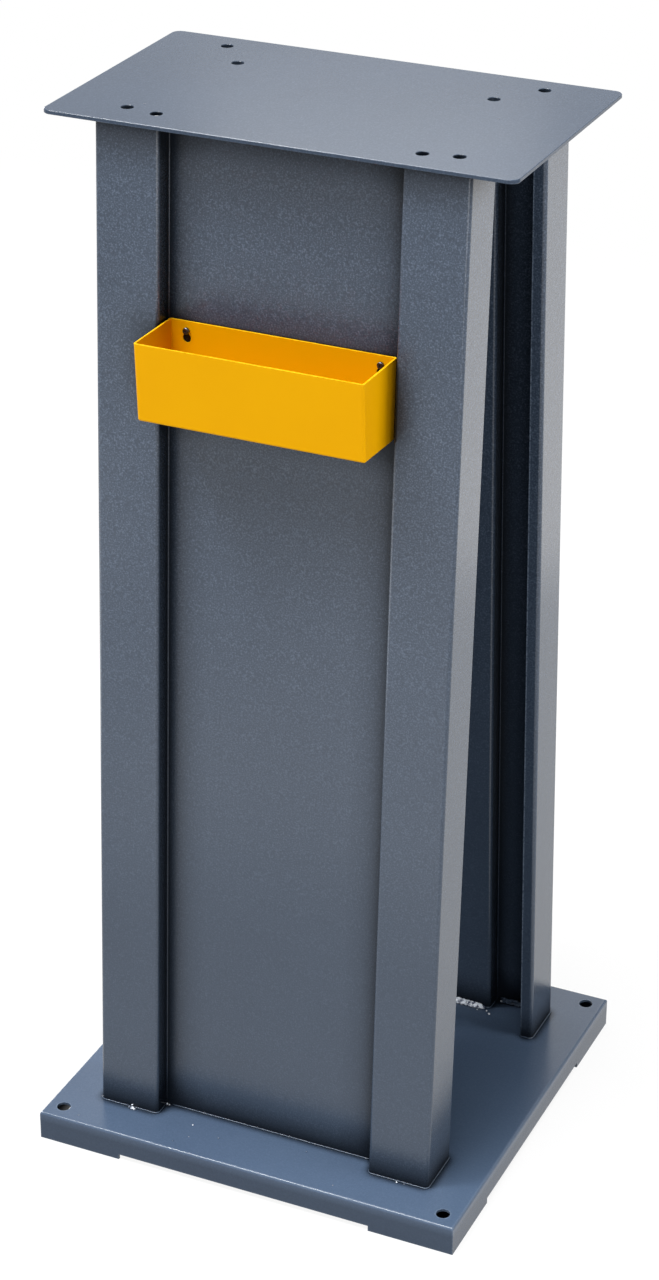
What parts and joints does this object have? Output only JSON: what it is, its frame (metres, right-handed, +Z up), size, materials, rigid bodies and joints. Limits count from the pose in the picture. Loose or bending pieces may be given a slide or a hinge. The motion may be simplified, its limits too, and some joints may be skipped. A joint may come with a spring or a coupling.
{
  "type": "bench grinder stand",
  "caption": "Tapered pedestal of folded sheet steel with a drilled top plate, recessed panels, a folded base pan on cut feet and a small tray hung by keyholes on its front.",
  "frame": {"origin": "on the floor, under the middle of the base pan", "axes": "+Z up; -Y towards the user, the side that carries the tray; +X to the user's right"},
  "size_m": [0.3544, 0.3376, 0.83],
  "materials": {
    "grey_powder_coat": "fine-textured semi-gloss powder coat, anthracite blue-grey",
    "yellow_powder_coat": "smooth semi-gloss powder coat, signal yellow",
    "zinc_plated_steel": "zinc-plated screw steel, satin"
  },
  "bodies": {
    "stand": {"base_pan": "grey_powder_coat", "front_column": "grey_powder_coat", "rear_column": "grey_powder_coat", "seam_front_left": "grey_powder_coat", "seam_front_right": "grey_powder_coat", "seam_rear_left": "grey_powder_coat", "seam_rear_right": "grey_powder_coat", "top_plate": "grey_powder_coat", "tray_nut_left": "zinc_plated_steel", "tray_nut_right": "zinc_plated_steel", "tray_screw_left": "zinc_plated_steel", "tray_screw_right": "zinc_plated_steel", "weld_front_foot_leg_left": "grey_powder_coat", "weld_front_foot_leg_right": "grey_powder_coat", "weld_front_foot_panel_left": "grey_powder_coat", "weld_front_foot_panel_right": "grey_powder_coat", "weld_front_top_leg_left": "grey_powder_coat", "weld_front_top_leg_right": "grey_powder_coat", "weld_front_top_panel_left": "grey_powder_coat", "weld_front_top_panel_right": "grey_powder_coat", "weld_rear_foot_leg_left": "grey_powder_coat", "weld_rear_foot_leg_right": "grey_powder_coat", "weld_rear_foot_panel_left": "grey_powder_coat", "weld_rear_foot_panel_right": "grey_powder_coat", "weld_rear_top_leg_left": "grey_powder_coat", "weld_rear_top_leg_right": "grey_powder_coat", "weld_rear_top_panel_left": "grey_powder_coat", "weld_rear_top_panel_right": "grey_powder_coat"},
    "tray": {"tray": "yellow_powder_coat"}
  },
  "joints": [
    {"name": "tray_lift", "type": "slide", "parent": "stand", "child": "tray", "axis": [0, 0.0507, 0.9987], "range_m": [0, 0.0055]}
  ]
}
